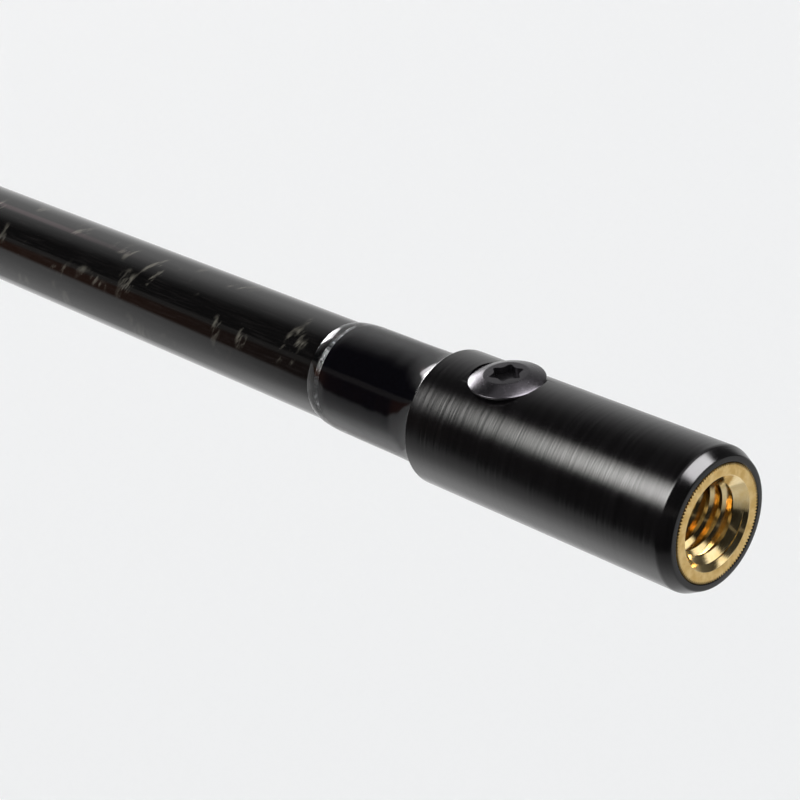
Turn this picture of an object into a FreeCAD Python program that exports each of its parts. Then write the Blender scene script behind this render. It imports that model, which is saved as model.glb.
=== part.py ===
import FreeCAD, Part
import os
import Sketcher

# Telescoping carbon-fibre boom pole for a microphone, in millimetres.
# The pole lies along X with its tip at +X and the tip adapter's screw head up, at +Z.
# The origin is the centre of the tip adapter's front face, where the thread opens.
# Five carbon sections slide in one another, and a twist-lock collar holds each joint.

DIMENSIONS = {
    # tip adapter and its brass insert with a 3/8"-16 thread
    "adapter_wall": 1.5,
    "adapter_length": 37.8,
    "adapter_edge_radius": 1.05,
    "adapter_rear_chamfer": 0.3,
    "insert_diameter": 13.0,
    "insert_length": 13.0,
    "thread_minor_diameter": 7.94,
    "thread_mouth_diameter": 9.8,
    "shoulder_bore_diameter": 9.0,
    "shoulder_thickness": 1.5,
    # button-head screw that keeps the adapter on the tube
    "screw_from_face": 28.5,
    "screw_diameter": 4.0,
    "screw_shank_length": 6.9,
    "screw_hole_clearance": 0.15,
    "head_diameter": 8.6,
    "head_land": 0.25,
    "head_shoulder_height": 0.6,
    "head_shoulder_diameter": 7.2,
    "head_height": 1.0,
    "head_flat_diameter": 5.1,
    "head_seat_depth": 0.45,
    "head_seat_clearance": 0.1,
    "socket_diameter": 3.95,
    "socket_lobe_diameter": 1.0,
    "socket_depth": 0.8,
    # plug inside the tip tube that the screw threads into
    "plug_length": 30.0,
    "plug_chamfer": 0.4,
    # thread whipping behind the adapter, its silver band and the clear epoxy over both
    "whipping_length": 16.1,
    "whipping_thickness": 0.25,
    "band_width": 0.8,
    "coat_thickness": 0.25,
    "coat_fillet_length": 3.0,
    "coat_fillet_height": 0.66,
    "coat_tail": 1.3,
    "coat_lip": 0.12,
    # carbon tubes
    "tip_tube_diameter": 12.4,
    "tube_wall": 0.9,
    "section_gap": 0.75,
    "base_tube_length": 300.0,
    "nesting_step": 6.0,
    "tip_exposed": 150.0,
    "tip_drawn_out": 84.0,
    # guide sleeve at the rear end of each inner tube
    "guide_length": 22.0,
    "guide_clearance": 0.05,
    "guide_chamfer": 0.25,
    # ferrule bonded on the front end of each outer tube
    "skirt_length": 8.0,
    "skirt_wall": 1.9,
    "ferrule_thread_length": 13.0,
    "ferrule_thread_wall": 1.2,
    "ferrule_lip_length": 3.0,
    "ferrule_lip_gap": 0.4,
    "ferrule_chamfer": 0.4,
    # split collet that grips the inner tube
    "collet_length": 12.0,
    "collet_rear_wall": 2.3,
    "collet_front_wall": 1.3,
    "collet_clearance": 0.05,
    "collet_slot_width": 0.8,
    "collet_root_length": 3.0,
    # twist-lock nut and the rubber grip in its recess
    "nut_wall": 2.2,
    "nut_thread_clearance": 0.05,
    "nut_cone_gap": 0.35,
    "nut_front_wall": 1.7,
    "nut_front_gap": 0.6,
    "nut_rear_gap": 0.5,
    "nut_chamfer": 0.6,
    "nut_flange": 3.2,
    "grip_recess": 1.2,
    "grip_proud": 0.35,
    "grip_chamfer": 0.3,
    "collar_gap": 4.0,
    # rear end of the base tube
    "end_sleeve_length": 22.0,
    "end_sleeve_wall": 1.9,
    "end_sleeve_overhang": 6.0,
    "end_sleeve_chamfer": 0.5,
    "end_plug_gap": 0.4,
    "end_plug_boss_length": 14.0,
    "end_plug_flange": 3.0,
    "seal_inner_inset": 0.4,
    "seal_width": 1.5,
    "seal_thickness": 1.1,
    "seal_chamfer": 0.25,
    "foot_thickness": 8.0,
    "foot_edge_radius": 2.0,
    "foot_web": 3.0,
    "foot_screw_diameter": 5.0,
    "foot_screw_length": 11.0,
    "foot_head_diameter": 9.0,
    "foot_head_height": 2.6,
    "foot_head_clearance": 0.5,
    "foot_hex_across_corners": 3.46,
    "foot_hex_depth": 1.5,
}

COLLET_SLOTS = 6
SOCKET_LOBES = 6
HEX_SIDES = 6
EDGE_SHARE = 0.75  # a rounded edge takes at most this share of its wall
SECTIONS = ["tip", "fourth", "third", "second", "base"]
COLLARED = SECTIONS[1:]
PARTS_FOLDER = "parts"

document = FreeCAD.newDocument("boom_pole")
sheet = document.addObject("Spreadsheet::Sheet", "sizes")
for row, (alias, value) in enumerate(DIMENSIONS.items(), start=1):
    sheet.set("A%d" % row, str(value))
    sheet.setAlias("A%d" % row, alias)
document.recompute()


class Size:
    """A length: its value in millimetres and the sheet formula that gives it."""

    def __init__(self, value, formula):
        self.value = value
        self.formula = formula

    def __add__(self, other):
        other = as_size(other)
        return Size(self.value + other.value, "(%s + %s)" % (self.formula, other.formula))

    def __sub__(self, other):
        other = as_size(other)
        return Size(self.value - other.value, "(%s - %s)" % (self.formula, other.formula))

    def __mul__(self, factor):
        return Size(self.value * factor, "(%s * %s)" % (self.formula, factor))

    def __truediv__(self, divisor):
        return Size(self.value / divisor, "(%s / %s)" % (self.formula, divisor))

    def __neg__(self):
        return Size(-self.value, "(0 - %s)" % self.formula)


def as_size(value):
    return value if isinstance(value, Size) else Size(float(value), str(value))


def larger(first, second):
    formula = "max(%s; %s)" % (first.formula, second.formula)
    return Size(max(first.value, second.value), formula)


def smaller(first, second):
    formula = "min(%s; %s)" % (first.formula, second.formula)
    return Size(min(first.value, second.value), formula)


def size(alias):
    return Size(float(sheet.get(alias)), "sizes." + alias)


def origin_feature(body, role):
    return next(feature for feature in body.Origin.OriginFeatures if feature.Role == role)


def new_body(name, x):
    """A body whose own origin is on the pole's axis at the station x."""
    body = document.addObject("PartDesign::Body", name)
    body.Label = name
    body.Placement = FreeCAD.Placement(FreeCAD.Vector(x.value, 0, 0), FreeCAD.Rotation())
    body.setExpression(".Placement.Base.x", x.formula)
    return body


def new_sketch(body, name, plane):
    sketch = body.newObject("Sketcher::SketchObject", name)
    sketch.AttachmentSupport = [(origin_feature(body, plane), "")]
    sketch.MapMode = "FlatFace"
    return sketch


def pin_point(sketch, edge, point, across, up):
    """Tie one point of a sketch edge to its two distances from the sketch's origin."""
    for kind, axis, distance in (("DistanceX", -2, across), ("DistanceY", -1, up)):
        if distance.value == 0:
            sketch.addConstraint(Sketcher.Constraint("PointOnObject", edge, point, axis))
        else:
            constraint = Sketcher.Constraint(kind, -1, 1, edge, point, distance.value)
            index = sketch.addConstraint(constraint)
            sketch.setExpression("Constraints[%d]" % index, distance.formula)


def add_outline(sketch, points):
    """A closed outline of straight edges, each corner tied to its sizes."""
    points = [(as_size(across), as_size(up)) for across, up in points]
    corners = [FreeCAD.Vector(across.value, up.value, 0) for across, up in points]
    count = len(corners)
    edges = [Part.LineSegment(corners[i], corners[(i + 1) % count]) for i in range(count)]
    sketch.addGeometry(edges, False)
    for i in range(count):
        sketch.addConstraint(Sketcher.Constraint("Coincident", i, 2, (i + 1) % count, 1))
    for i, (across, up) in enumerate(points):
        pin_point(sketch, i, 1, across, up)


def add_circle(sketch, across, up, radius):
    centre = FreeCAD.Vector(across.value, up.value, 0)
    circle = Part.Circle(centre, FreeCAD.Vector(0, 0, 1), radius.value)
    edge = sketch.addGeometry(circle, False)
    index = sketch.addConstraint(Sketcher.Constraint("Radius", edge, radius.value))
    sketch.setExpression("Constraints[%d]" % index, radius.formula)
    pin_point(sketch, edge, 3, across, up)


def revolve(body, points, axis="H_Axis"):
    """Turn an outline in the XZ plane about the sketch's own axis."""
    sketch = new_sketch(body, body.Name + "_outline", "XZ_Plane")
    add_outline(sketch, points)
    turned = body.newObject("PartDesign::Revolution", body.Name + "_turned")
    turned.Profile = sketch
    turned.ReferenceAxis = (sketch, [axis])
    turned.Angle = 360
    body.Tip = turned
    document.recompute()
    return turned


def turned_part(name, x, points):
    body = new_body(name, x)
    revolve(body, points)
    return body


def ring(name, x, length, inner, outer, chamfer=None):
    """A plain round sleeve, with its outer corners chamfered if a chamfer is given."""
    if chamfer is None:
        return turned_part(name, x, [(0, inner), (0, outer), (length, outer), (length, inner)])
    points = [
        (0, inner),
        (0, outer - chamfer),
        (chamfer, outer),
        (length - chamfer, outer),
        (length, outer - chamfer),
        (length, inner),
    ]
    return turned_part(name, x, points)


def pocket_up(body, name, height, draw, depth=None):
    """Cut upwards from a sketch at a height above the body's XY plane, and check the cut."""
    sketch = new_sketch(body, name + "_sketch", "XY_Plane")
    sketch.AttachmentOffset = FreeCAD.Placement(
        FreeCAD.Vector(0, 0, height.value), FreeCAD.Rotation()
    )
    sketch.setExpression(".AttachmentOffset.Base.z", height.formula)
    draw(sketch)
    return cut(body, name, sketch, depth, upwards=True)


def cut(body, name, sketch, depth, upwards):
    before = body.Shape.Volume
    pocket = body.newObject("PartDesign::Pocket", name)
    pocket.Profile = sketch
    pocket.Reversed = upwards
    if depth is None:
        pocket.Type = "ThroughAll"
    else:
        pocket.Type = "Length"
        pocket.Length = depth.value
        pocket.setExpression("Length", depth.formula)
    body.Tip = pocket
    document.recompute()
    if body.Shape.Volume >= before:
        raise RuntimeError("%s removes nothing" % name)
    return pocket


def repeat_round(body, feature, role, count):
    """Repeat a cut evenly round one of the body's own axes."""
    pattern = body.newObject("PartDesign::PolarPattern", feature.Name + "_round")
    pattern.Originals = [feature]
    pattern.Axis = (origin_feature(body, role), [""])
    pattern.Angle = 360
    pattern.Occurrences = count
    body.Tip = pattern
    document.recompute()


def round_edge(body, name, x, radius, fillet_radius):
    """Round the circular edge of a turned body that has this station and radius."""
    turned = body.Tip
    found = [
        "Edge%d" % number
        for number, edge in enumerate(turned.Shape.Edges, start=1)
        if edge.Curve.TypeId == "Part::GeomCircle"
        and abs(edge.Curve.Radius - radius.value) < 1e-6
        and abs(edge.Curve.Center.x - x.value) < 1e-6
    ]
    fillet = body.newObject("PartDesign::Fillet", name)
    fillet.Base = (turned, found)
    fillet.Radius = fillet_radius.value
    fillet.setExpression("Radius", fillet_radius.formula)
    body.Tip = fillet
    document.recompute()


# Radii of the nested tubes: each section is one gap and one wall larger than the last.
tube_wall = size("tube_wall")
outer_radius = {"tip": size("tip_tube_diameter") / 2}
for thin, thick in zip(SECTIONS, SECTIONS[1:]):
    outer_radius[thick] = outer_radius[thin] + size("section_gap") + tube_wall
bore_radius = {section: outer_radius[section] - tube_wall for section in SECTIONS}
inside = {thick: thin for thin, thick in zip(SECTIONS, SECTIONS[1:])}

# Lengths along one collar, from the outer tube's front end.
lip_end = size("ferrule_lip_length")
collet_end = lip_end + size("collet_length")
nut_end = collet_end + size("nut_cone_gap") + size("nut_front_wall")
nut_start = size("ferrule_thread_length") - size("nut_rear_gap")
ferrule_start = size("ferrule_thread_length") + size("skirt_length")

# Stations of the tube ends on the X axis, with the tip section partly drawn out.
adapter_rear = -size("adapter_length")
front_end = {"tip": -(size("insert_length") + size("shoulder_thickness"))}
nut_face = -size("tip_exposed")
for section in COLLARED:
    front_end[section] = nut_face - nut_end
    nut_face = front_end[section] - ferrule_start - size("collar_gap")
base_rear = front_end["base"] - size("base_tube_length")
plug_front = base_rear - size("end_sleeve_overhang") + size("end_plug_boss_length")
rear_end = {"base": base_rear}
nest = plug_front
for section in reversed(SECTIONS[:-1]):
    nest = nest + size("nesting_step")
    rear_end[section] = nest
rear_end["tip"] = rear_end["tip"] + size("tip_drawn_out")


def make_tube(section):
    length = front_end[section] - rear_end[section]
    name = section + "_tube"
    body = ring(name, rear_end[section], length, bore_radius[section], outer_radius[section])
    if section == "tip":
        # The adapter screw passes through the top wall.
        across = screw_station - rear_end[section]
        pocket_up(body, "screw_hole_tube", as_size(0), lambda sketch: add_circle(
            sketch, across, as_size(0), screw_clear_radius))


def make_guide(section, host):
    outer = bore_radius[host] - size("guide_clearance")
    ring(section + "_guide", rear_end[section], size("guide_length"),
         outer_radius[section], outer, size("guide_chamfer"))


def make_ferrule(section):
    tube = outer_radius[section]
    skirt = tube + size("skirt_wall")
    thread = tube + size("ferrule_thread_wall")
    lip = outer_radius[inside[section]] + size("ferrule_lip_gap")
    chamfer = size("ferrule_chamfer")
    end = ferrule_start + lip_end
    turned_part(section + "_ferrule", front_end[section] - ferrule_start, [
        (0, tube),
        (0, skirt - chamfer),
        (chamfer, skirt),
        (size("skirt_length"), skirt),
        (size("skirt_length"), thread),
        (end - chamfer, thread),
        (end, thread - chamfer),
        (end, lip),
        (ferrule_start, lip),
        (ferrule_start, tube),
    ])


def make_collet(section):
    inner = outer_radius[inside[section]]
    bore = inner + size("collet_clearance")
    length = size("collet_length")
    root = size("collet_root_length")
    body = turned_part(section + "_collet", front_end[section] + lip_end, [
        (0, bore),
        (0, inner + size("collet_rear_wall")),
        (root, inner + size("collet_rear_wall")),
        (length, inner + size("collet_front_wall")),
        (length, bore),
    ])
    half = size("collet_slot_width") / 2
    past = length + half
    corners = [(root, -half), (past, -half), (past, half), (root, half)]
    slot = pocket_up(body, section + "_collet_slot", as_size(0),
                     lambda sketch: add_outline(sketch, corners))
    repeat_round(body, slot, "X_Axis", COLLET_SLOTS)


def make_nut(section):
    inner = outer_radius[inside[section]]
    thread = outer_radius[section] + size("ferrule_thread_wall") + size("nut_thread_clearance")
    cone_rear = inner + size("collet_rear_wall") + size("nut_cone_gap")
    cone_front = inner + size("collet_front_wall") + size("nut_cone_gap")
    outside = nut_radius(section)
    recess = outside - size("grip_recess")
    chamfer = size("nut_chamfer")
    flange = size("nut_flange")
    cone_start = nut_start + lip_end
    cone_root = cone_start + size("collet_root_length")
    cone_end = nut_start + collet_end + size("nut_cone_gap")
    length = nut_start + nut_end
    front_bore = inner + size("nut_front_gap")
    turned_part(section + "_nut", front_end[section] - nut_start, [
        (0, thread),
        (0, outside - chamfer),
        (chamfer, outside),
        (flange, outside),
        (flange, recess),
        (length - flange, recess),
        (length - flange, outside),
        (length - chamfer, outside),
        (length, outside - chamfer),
        (length, front_bore),
        (cone_end, front_bore),
        (cone_end, cone_front),
        (cone_root, cone_rear),
        (cone_start, cone_rear),
        (cone_start, thread),
    ])


def nut_radius(section):
    thread = outer_radius[section] + size("ferrule_thread_wall") + size("nut_thread_clearance")
    return thread + size("nut_wall")


def make_grip(section):
    outside = nut_radius(section)
    start = front_end[section] - nut_start + size("nut_flange")
    length = nut_start + nut_end - size("nut_flange") * 2
    ring(section + "_grip", start, length, outside - size("grip_recess"),
         outside + size("grip_proud"), size("grip_chamfer"))


screw_station = -size("screw_from_face")
screw_clear_radius = size("screw_diameter") / 2 + size("screw_hole_clearance")
insert_radius = size("insert_diameter") / 2
adapter_radius = larger(outer_radius["tip"], insert_radius) + size("adapter_wall")
head_seat = adapter_radius - size("head_seat_depth")


def make_adapter():
    outside = adapter_radius
    tube = outer_radius["tip"]
    insert = insert_radius
    shoulder = size("shoulder_bore_diameter") / 2
    chamfer = size("adapter_rear_chamfer")
    length = size("adapter_length")
    insert_rear = length - size("insert_length")
    tube_stop = insert_rear - size("shoulder_thickness")
    body = turned_part("tip_adapter", adapter_rear, [
        (0, tube),
        (0, outside - chamfer),
        (chamfer, outside),
        (length, outside),
        (length, insert),
        (insert_rear, insert),
        (insert_rear, shoulder),
        (tube_stop, shoulder),
        (tube_stop, tube),
    ])
    rounding = smaller(size("adapter_edge_radius"), (outside - insert) * EDGE_SHARE)
    round_edge(body, "adapter_front_edge", length, outside, rounding)
    across = screw_station - adapter_rear
    seat_radius = size("head_diameter") / 2 + size("head_seat_clearance")
    pocket_up(body, "head_seat", head_seat,
              lambda sketch: add_circle(sketch, across, as_size(0), seat_radius))
    pocket_up(body, "screw_hole_adapter", as_size(0),
              lambda sketch: add_circle(sketch, across, as_size(0), screw_clear_radius))


def make_insert():
    outside = insert_radius
    bore = size("thread_minor_diameter") / 2
    mouth = size("thread_mouth_diameter") / 2
    length = size("insert_length")
    turned_part("thread_insert", -length, [
        (0, bore),
        (0, outside),
        (length, outside),
        (length, mouth),
        (length - (mouth - bore), bore),
    ])


def make_adapter_screw():
    """Button head with a six-lobe socket, on a shank that ends inside the plug."""
    body = new_body("adapter_screw", screw_station)
    shank = size("screw_diameter") / 2
    seat = head_seat
    revolve(body, [
        (0, seat - size("screw_shank_length")),
        (shank, seat - size("screw_shank_length")),
        (shank, seat),
        (size("head_diameter") / 2, seat),
        (size("head_diameter") / 2, seat + size("head_land")),
        (size("head_shoulder_diameter") / 2, seat + size("head_shoulder_height")),
        (size("head_flat_diameter") / 2, seat + size("head_height")),
        (0, seat + size("head_height")),
    ], axis="V_Axis")
    lobe = size("socket_lobe_diameter") / 2
    reach = size("socket_diameter") / 2 - lobe
    floor = seat + size("head_height") - size("socket_depth")
    pocket_up(body, "socket_core", floor,
              lambda sketch: add_circle(sketch, as_size(0), as_size(0), reach))
    lobe_cut = pocket_up(body, "socket_lobe", floor,
                         lambda sketch: add_circle(sketch, reach, as_size(0), lobe))
    repeat_round(body, lobe_cut, "Z_Axis", SOCKET_LOBES)


def make_tip_plug():
    outside = bore_radius["tip"]
    chamfer = size("plug_chamfer")
    length = size("plug_length")
    rear = front_end["tip"] - length
    body = turned_part("tip_plug", rear, [
        (0, 0),
        (0, outside - chamfer),
        (chamfer, outside),
        (length, outside),
        (length, 0),
    ])
    hole_floor = head_seat - size("screw_shank_length")
    pocket_up(body, "screw_hole_plug", hole_floor, lambda sketch: add_circle(
        sketch, screw_station - rear, as_size(0), size("screw_diameter") / 2))


def make_whipping():
    """Dark thread wound on the tube, a silver band beside it and clear epoxy over both."""
    tube = outer_radius["tip"]
    wound = tube + size("whipping_thickness")
    coat = wound + size("coat_thickness")
    whipping_rear = adapter_rear - size("whipping_length")
    band_rear = whipping_rear - size("band_width")
    tail = size("coat_tail")
    length = tail + size("band_width") + size("whipping_length")
    fillet = smaller(size("coat_fillet_height"),
                     adapter_radius - size("adapter_rear_chamfer") - coat)
    ring("tip_whipping", whipping_rear, size("whipping_length"), tube, wound)
    ring("tip_band", band_rear, size("band_width"), tube, wound)
    turned_part("tip_epoxy", band_rear - tail, [
        (0, tube),
        (0, tube + size("coat_lip")),
        (tail, coat),
        (length - size("coat_fillet_length"), coat),
        (length, coat + fillet),
        (length, wound),
        (tail, wound),
        (tail, tube),
    ])


def make_end_sleeve():
    """Aluminium sleeve on the base tube's rear end, with a narrower mouth for the plug."""
    tube = outer_radius["base"]
    outside = tube + size("end_sleeve_wall")
    chamfer = size("end_sleeve_chamfer")
    length = size("end_sleeve_length")
    overhang = size("end_sleeve_overhang")
    turned_part("end_sleeve", base_rear - overhang, [
        (0, end_plug_radius),
        (0, outside),
        (length - chamfer, outside),
        (length, outside - chamfer),
        (length, tube),
        (overhang, tube),
        (overhang, end_plug_radius),
    ])


end_plug_radius = bore_radius["base"] - size("end_plug_gap")
end_outer_radius = outer_radius["base"] + size("end_sleeve_wall")
end_plug_rear = base_rear - size("end_sleeve_overhang") - size("end_plug_flange")
foot_rear = end_plug_rear - size("foot_thickness")
seal_inner = end_plug_radius + size("seal_inner_inset")
seal_outer = seal_inner + size("seal_width")


def make_end_plug():
    """Screw-in plug: a flange with a groove for the seal, and a boss inside the sleeve."""
    flange = size("end_plug_flange")
    length = flange + size("end_plug_boss_length")
    screw = size("foot_screw_diameter") / 2
    groove = flange - size("seal_thickness")
    turned_part("end_plug", end_plug_rear, [
        (0, screw),
        (0, end_outer_radius),
        (flange, end_outer_radius),
        (flange, seal_outer),
        (groove, seal_outer),
        (groove, seal_inner),
        (flange, seal_inner),
        (flange, end_plug_radius),
        (length, end_plug_radius),
        (length, screw),
    ])


def make_seal():
    thickness = size("seal_thickness")
    start = base_rear - size("end_sleeve_overhang") - thickness
    ring("end_seal", start, thickness, seal_inner, seal_outer, size("seal_chamfer"))


def make_foot():
    """Rubber bumper on the plug, with a well for its screw."""
    thickness = size("foot_thickness")
    well = size("foot_head_diameter") / 2 + size("foot_head_clearance")
    screw = size("foot_screw_diameter") / 2
    web = thickness - size("foot_web")
    body = turned_part("foot", foot_rear, [
        (0, well),
        (0, end_outer_radius),
        (thickness, end_outer_radius),
        (thickness, screw),
        (web, screw),
        (web, well),
    ])
    rounding = smaller(size("foot_edge_radius"), (end_outer_radius - well) * EDGE_SHARE)
    round_edge(body, "foot_rear_edge", as_size(0), end_outer_radius, rounding)


def make_foot_screw():
    """Cap screw with a hexagon socket, its head in the foot's well."""
    head = size("foot_head_diameter") / 2
    shank = size("foot_screw_diameter") / 2
    height = size("foot_head_height")
    body = turned_part("foot_screw", end_plug_rear - size("foot_web") - height, [
        (0, 0),
        (0, head),
        (height, head),
        (height, shank),
        (height + size("foot_screw_length"), shank),
        (height + size("foot_screw_length"), 0),
    ])
    sketch = new_sketch(body, "hex_socket_sketch", "YZ_Plane")
    corner = size("foot_hex_across_corners") / 2
    cosines = [1.0, 0.5, -0.5, -1.0, -0.5, 0.5]
    half_root_three = 3 ** 0.5 / 2
    sines = [0, half_root_three, half_root_three, 0, -half_root_three, -half_root_three]
    add_outline(sketch, [(corner * cosines[i], corner * sines[i]) for i in range(HEX_SIDES)])
    cut(body, "hex_socket", sketch, size("foot_hex_depth"), upwards=True)


make_adapter()
make_insert()
make_adapter_screw()
make_tip_plug()
make_whipping()
for section in SECTIONS:
    make_tube(section)
for section in COLLARED:
    make_guide(inside[section], section)
    make_ferrule(section)
    make_collet(section)
    make_nut(section)
    make_grip(section)
make_end_sleeve()
make_end_plug()
make_seal()
make_foot()
make_foot_screw()

document.recompute()
for item in document.Objects:
    if "Invalid" in item.State or "Error" in item.State:
        raise RuntimeError("%s did not compute" % item.Name)

bodies = [item for item in document.Objects if item.TypeId == "PartDesign::Body"]
for body in bodies:
    if body.Shape.isNull() or not body.Shape.isValid() or len(body.Shape.Solids) != 1:
        raise RuntimeError("%s has no valid solid" % body.Label)

os.makedirs(PARTS_FOLDER, exist_ok=True)
for body in bodies:
    body.Shape.exportStep(os.path.join(PARTS_FOLDER, body.Label + ".step"))
    box = body.Shape.BoundBox
    print("%-16s x %8.2f to %8.2f  radius %6.2f  volume %9.1f" % (
        body.Label, box.XMin, box.XMax, box.YMax, body.Shape.Volume))
print("%d parts written" % len(bodies))
for section in SECTIONS[:-1]:
    host = SECTIONS[SECTIONS.index(section) + 1]
    stop = front_end[host].value - (rear_end[section].value + size("guide_length").value)
    print("%s section can slide out %.1f mm" % (section, stop))
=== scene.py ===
import bmesh
import bpy
import math
import random
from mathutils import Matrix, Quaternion, Vector


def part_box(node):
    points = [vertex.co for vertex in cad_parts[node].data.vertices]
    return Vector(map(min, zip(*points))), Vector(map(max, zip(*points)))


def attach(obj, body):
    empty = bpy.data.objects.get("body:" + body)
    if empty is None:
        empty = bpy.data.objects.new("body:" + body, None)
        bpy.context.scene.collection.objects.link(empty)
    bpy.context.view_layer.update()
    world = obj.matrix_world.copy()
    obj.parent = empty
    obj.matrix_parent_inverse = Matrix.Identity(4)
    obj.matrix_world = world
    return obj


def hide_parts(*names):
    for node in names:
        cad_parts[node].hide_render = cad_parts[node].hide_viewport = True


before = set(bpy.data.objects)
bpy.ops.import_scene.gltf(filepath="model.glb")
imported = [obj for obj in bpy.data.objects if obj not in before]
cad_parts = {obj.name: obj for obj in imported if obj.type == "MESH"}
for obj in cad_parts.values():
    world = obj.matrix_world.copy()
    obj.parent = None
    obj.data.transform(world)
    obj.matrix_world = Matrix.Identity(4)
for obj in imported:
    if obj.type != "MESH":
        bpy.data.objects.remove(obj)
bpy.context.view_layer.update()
random.seed(7)

# Sizes in the dictionaries are millimetres unless a name says otherwise.
mm = 0.001
collarSections = ["fourth", "third", "second", "base"]
slidingInside = {"fourth": "tip", "third": "fourth", "second": "third", "base": "second"}


def reach(node):
    # rear end, front end and outer radius of a turned CAD node
    low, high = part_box(node)
    return low.x, high.x, max(high.y, -low.y, -low.z)


def endEdit():
    if bpy.context.object and bpy.context.object.mode != "OBJECT":
        bpy.ops.object.mode_set(mode="OBJECT")


def deselectAll():
    endEdit()
    bpy.ops.object.select_all(action="DESELECT")


def makeActive(piece):
    deselectAll()
    piece.hide_set(False)
    piece.select_set(True)
    bpy.context.view_layer.objects.active = piece


def selectWhere(piece, kind, test):
    # select the vertices, edges or faces that pass a test on their place or normal
    bpy.ops.mesh.select_mode(type=kind)
    bpy.ops.mesh.select_all(action="DESELECT")
    mesh = bmesh.from_edit_mesh(piece.data)
    items = {"VERT": mesh.verts, "EDGE": mesh.edges, "FACE": mesh.faces}[kind]
    found = 0
    for item in items:
        if test(item):
            item.select_set(True)
            found += 1
    mesh.select_flush_mode()
    bmesh.update_edit_mesh(piece.data)
    return found


def drawOutline(name, corners, axis="X"):
    # one vertex at the first corner, then each next one is extruded from the last
    deselectAll()
    bpy.ops.mesh.primitive_plane_add(size=mm)
    piece = bpy.context.object
    piece.name = name
    piece.data.name = name
    bpy.ops.object.mode_set(mode="EDIT")
    bpy.ops.mesh.select_mode(type="VERT")
    bpy.ops.mesh.merge(type="CENTER")
    place = (lambda along, out: Vector((along, 0, out))) if axis == "X" else \
        (lambda along, out: Vector((out, 0, along)))
    points = [place(corner[0], corner[1]) for corner in corners]
    bpy.ops.transform.translate(value=points[0])
    for last, point in zip(points, points[1:]):
        bpy.ops.mesh.extrude_region_move(TRANSFORM_OT_translate={"value": point - last})
    return piece, points


def roundCorners(piece, corners, points, segments):
    radii = sorted({corner[2] for corner in corners if len(corner) > 2})
    for radius in radii:
        wanted = [point for corner, point in zip(corners, points)
                  if len(corner) > 2 and corner[2] == radius]
        selectWhere(piece, "VERT", lambda vert: any((vert.co - point).length < 1e-7
                                                    for point in wanted))
        bpy.ops.mesh.bevel(offset_type="OFFSET", offset=radius, segments=segments,
                           affect="VERTICES", clamp_overlap=True)


def lathe(name, corners, steps=96, axis="X", segments=4, closed=True):
    # corners are (along, out) or (along, out, rounding) in metres
    piece, points = drawOutline(name, corners, axis)
    if closed:
        ends = (points[0], points[-1])
        selectWhere(piece, "VERT", lambda vert: any((vert.co - end).length < 1e-7
                                                    for end in ends))
        bpy.ops.mesh.edge_face_add()
    roundCorners(piece, corners, points, segments)
    bpy.ops.mesh.select_all(action="SELECT")
    turn = (1, 0, 0) if axis == "X" else (0, 0, 1)
    bpy.ops.mesh.spin(steps=steps, angle=2 * math.pi, center=(0, 0, 0), axis=turn)
    bpy.ops.mesh.select_all(action="SELECT")
    bpy.ops.mesh.remove_doubles(threshold=1e-7)
    bpy.ops.mesh.normals_make_consistent(inside=False)
    bpy.ops.object.mode_set(mode="OBJECT")
    return piece


def applyModifier(piece, kind, **settings):
    makeActive(piece)
    modifier = piece.modifiers.new(kind.title(), kind)
    for key, value in settings.items():
        setattr(modifier, key, value)
    bpy.ops.object.modifier_apply(modifier=modifier.name)


def carve(piece, tool):
    applyModifier(piece, "BOOLEAN", operation="DIFFERENCE", object=tool, solver="EXACT")
    bpy.data.objects.remove(tool)


def smooth(piece, degrees):
    makeActive(piece)
    bpy.ops.object.shade_smooth_by_angle(angle=math.radians(degrees))
    applyModifier(piece, "WEIGHTED_NORMAL", weight=90, keep_sharp=True)


def finishPiece(piece, body, material, slot, *nodes, degrees=32):
    smooth(piece, degrees)
    piece.data.materials.clear()
    piece.data.materials.append(material)
    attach(piece, body)
    if nodes:
        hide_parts(*nodes)


class Wire:
    # an output socket that can be added and scaled like a number
    def __init__(self, bench, socket):
        self.bench = bench
        self.socket = socket

    def maths(self, operation, first, second):
        return self.bench.node("ShaderNodeMath", {"operation": operation}, {0: first, 1: second})

    def __add__(self, other):
        return self.maths("ADD", self, other)

    __radd__ = __add__

    def __sub__(self, other):
        return self.maths("SUBTRACT", self, other)

    def __rsub__(self, other):
        return self.maths("SUBTRACT", other, self)

    def __mul__(self, other):
        return self.maths("MULTIPLY", self, other)

    __rmul__ = __mul__

    def __truediv__(self, other):
        return self.maths("DIVIDE", self, other)

    def __pow__(self, other):
        return self.maths("POWER", self, other)


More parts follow.
